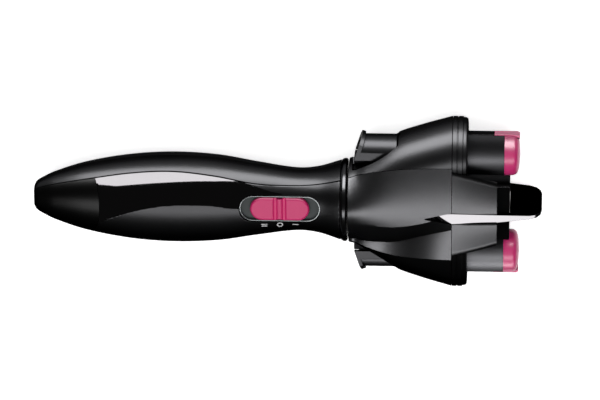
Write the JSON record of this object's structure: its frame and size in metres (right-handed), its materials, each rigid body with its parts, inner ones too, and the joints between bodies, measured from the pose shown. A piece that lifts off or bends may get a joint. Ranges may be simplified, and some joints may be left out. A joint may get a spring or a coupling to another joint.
{
  "type": "automatic hair braider",
  "caption": "Cordless hair braider: long grip with a sliding switch, and a turning head with spinning barrels, sprung hair levers and a divider fin.",
  "frame": {"origin": "middle of the object's length and width, on the surface that its back rests on", "axes": "+X from the tail to the divider fin, +Y from the lower barrel to the upper one, +Z from the back to the switch face"},
  "size_m": [0.289, 0.101, 0.0478],
  "materials": {
    "shell_satin": "fine satin texture",
    "head_pearl": "pearl graphite with fine grain",
    "back_satin": "fine satin texture",
    "piano_black": "polished, mirror gloss",
    "tail_black": "soft satin gloss, bare",
    "collar_grey": "smoked satin",
    "bezel_grey": "satin grey",
    "button_pink": "satin raspberry pink",
    "tip_pink": "translucent raspberry pink",
    "barrel_grey": "satin, slightly metallic",
    "lever_black": "semi-gloss",
    "inner_plastic": "plain moulded",
    "drive_rubber": "moulded tyre",
    "gear_white": "acetal",
    "bush_bronze": "sintered bronze",
    "steel": "turned",
    "cell_wrap": "plain printed wrap, no marks",
    "board_green": "solder mask"
  },
  "bodies": {
    "grip": {"front_shell": "shell_satin", "rear_shell": "back_satin", "grip_inlay": "piano_black", "tail_panel": "tail_black", "neck_collar": "collar_grey", "switch_bezel": "bezel_grey", "slide_switch": "steel", "battery_tray": "inner_plastic", "left_cell": "cell_wrap", "right_cell": "cell_wrap", "cell_springs": "steel", "cell_contacts": "steel", "circuit_board": "board_green", "motor_cradle": "inner_plastic", "braid_motor": "steel", "twist_motor": "steel", "rear_bearing": "inner_plastic", "neck_bearing": "inner_plastic", "handle_screws": "steel"},
    "switch": {"switch_button": "button_pink", "switch_carriage": "inner_plastic"},
    "battery_door": {"battery_cover": "back_satin"},
    "braid_drive": {"braid_pinion": "gear_white"},
    "twist_drive": {"twist_roller": "drive_rubber"},
    "head": {"core_front_cover": "head_pearl", "core_back_cover": "head_pearl", "upper_cowl": "head_pearl", "lower_cowl": "head_pearl", "head_chassis": "inner_plastic", "rear_plate": "inner_plastic", "front_plate": "inner_plastic", "head_shaft": "inner_plastic", "braid_gear": "gear_white", "upper_bushes": "bush_bronze", "lower_bushes": "bush_bronze", "upper_rim": "head_pearl", "lower_rim": "head_pearl", "nose_front_cover": "head_pearl", "nose_back_cover": "head_pearl", "nose_core": "barrel_grey", "divider_fin": "piano_black", "head_screws": "steel"},
    "sun": {"sun_gear": "gear_white", "twist_shaft": "steel", "twist_wheel": "gear_white"},
    "upper_spool": {"upper_barrel": "barrel_grey", "upper_gear": "gear_white", "upper_tip": "tip_pink", "upper_pin": "steel", "upper_spring": "steel"},
    "lower_spool": {"lower_barrel": "barrel_grey", "lower_gear": "gear_white", "lower_tip": "tip_pink", "lower_pin": "steel", "lower_spring": "steel"},
    "upper_clip": {"upper_lever": "lever_black", "upper_lever_tip": "tip_pink"},
    "lower_clip": {"lower_lever": "lever_black", "lower_lever_tip": "tip_pink"}
  },
  "joints": [
    {"name": "head_spin", "type": "hinge", "parent": "grip", "child": "head", "pos_m": [0.0305, 0, 0.0237], "axis": [1, 0, 0], "continuous": true},
    {"name": "upper_spin", "type": "hinge", "parent": "head", "child": "upper_spool", "pos_m": [0.0775, 0.0297, 0.0237], "axis": [1, 0, 0], "continuous": true},
    {"name": "lower_spin", "type": "hinge", "parent": "head", "child": "lower_spool", "pos_m": [0.0775, -0.0297, 0.0237], "axis": [1, 0, 0], "continuous": true},
    {"name": "sun_spin", "type": "hinge", "parent": "head", "child": "sun", "pos_m": [0.0555, 0, 0.0237], "axis": [1, 0, 0], "continuous": true},
    {"name": "twist_roller_spin", "type": "hinge", "parent": "grip", "child": "twist_drive", "pos_m": [-0.0185, -0.009, 0.0237], "axis": [1, 0, 0], "continuous": true},
    {"name": "braid_pinion_spin", "type": "hinge", "parent": "grip", "child": "braid_drive", "pos_m": [-0.0115, 0.009, 0.0237], "axis": [1, 0, 0], "continuous": true},
    {"name": "upper_lever_hinge", "type": "hinge", "parent": "upper_spool", "child": "upper_clip", "pos_m": [0.0775, 0.0348, 0.0237], "axis": [0, 0, 1], "range_deg": [0, 7], "stiffness_Nm_per_rad": 0.1, "springref_deg": -17.19, "deforming": ["upper_spring"]},
    {"name": "lower_lever_hinge", "type": "hinge", "parent": "lower_spool", "child": "lower_clip", "pos_m": [0.0775, -0.0348, 0.0237], "axis": [0, 0, -1], "range_deg": [0, 7], "stiffness_Nm_per_rad": 0.1, "springref_deg": -17.19, "deforming": ["lower_spring"]},
    {"name": "switch_slide", "type": "slide", "parent": "grip", "child": "switch", "axis": [1, 0, 0], "range_m": [-0.005, 0.005]},
    {"name": "battery_cover_pull", "type": "slide", "parent": "grip", "child": "battery_door", "axis": [0, 0, -1], "range_m": [0, 0.015]}
  ],
  "couplings": [
    {"joint": "lower_spin", "follows": "upper_spin", "ratio": 1},
    {"joint": "sun_spin", "follows": "upper_spin", "ratio": -1},
    {"joint": "twist_roller_spin", "follows": "upper_spin", "ratio": 2},
    {"joint": "braid_pinion_spin", "follows": "head_spin", "ratio": -2}
  ]
}
